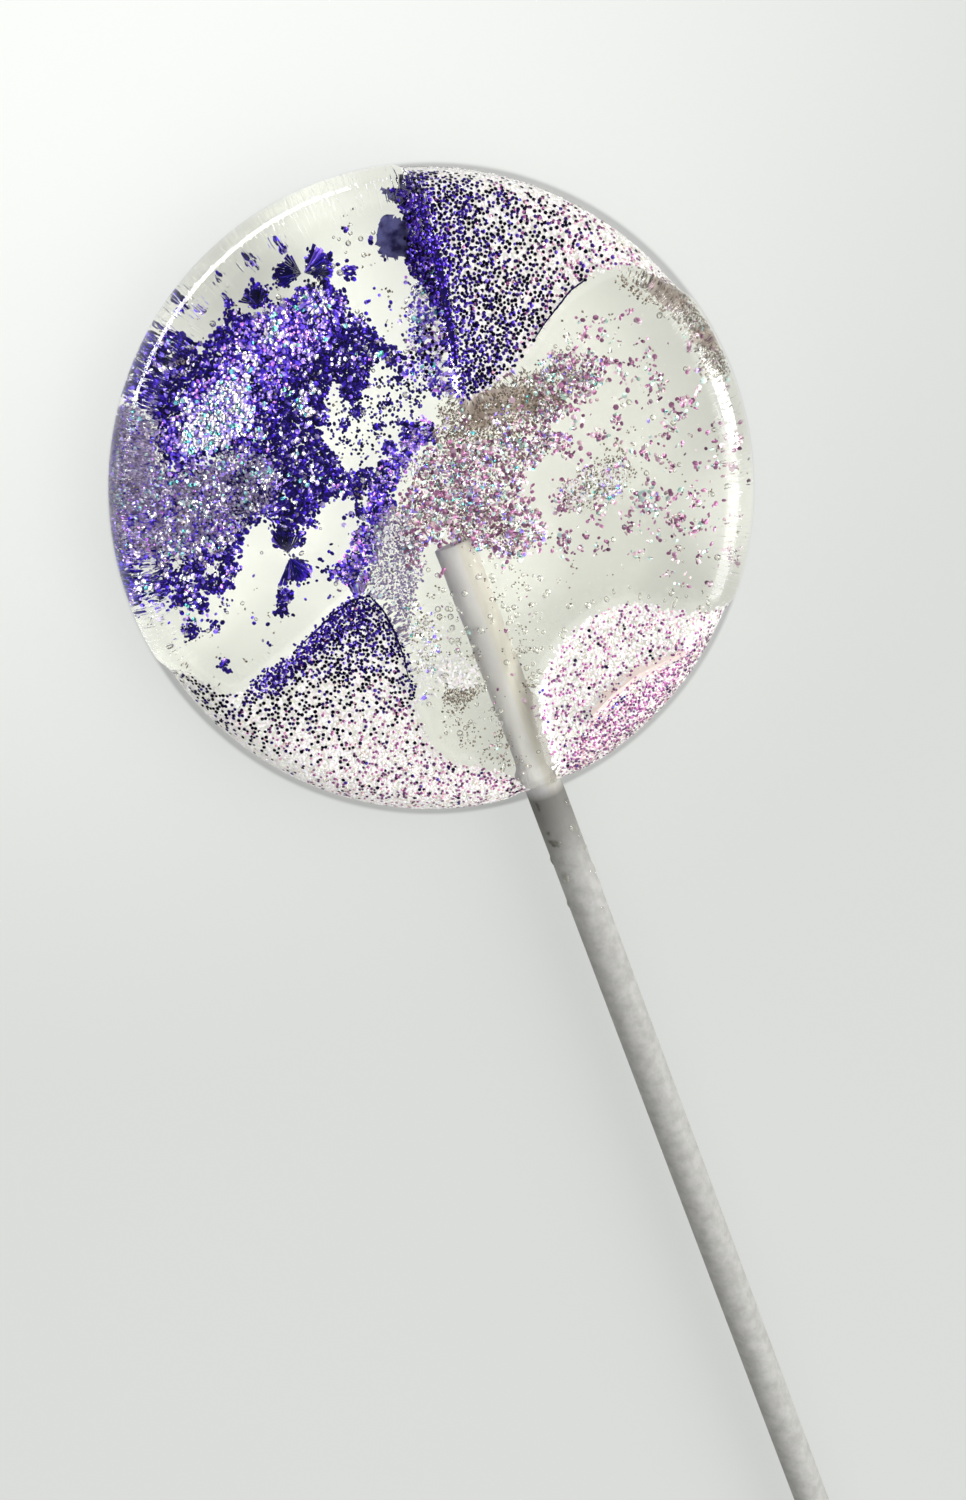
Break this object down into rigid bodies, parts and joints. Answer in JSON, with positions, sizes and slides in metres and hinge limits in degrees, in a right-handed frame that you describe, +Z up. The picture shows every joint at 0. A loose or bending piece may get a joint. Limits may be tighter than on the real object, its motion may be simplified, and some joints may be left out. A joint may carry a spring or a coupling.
{
  "type": "lollipop",
  "caption": "Round flat lollipop of clear poured sugar with glitter sunk in it, on a straight rolled paper stick, lying on its flat back.",
  "frame": {"origin": "centre of the sugar disc's flat back, which it lies on", "axes": "+Z up through the disc to its poured face, +Y from the stick towards the disc's far rim, so the stick runs along -Y"},
  "size_m": [0.05, 0.1422, 0.0075],
  "materials": {
    "clear_sugar": "clear, glossy, set sugar",
    "white_paper": "matt rolled paper with a soft fibre"
  },
  "bodies": {
    "root": {"sugar_disc": "clear_sugar", "paper_stick": "white_paper"}
  },
  "joints": []
}
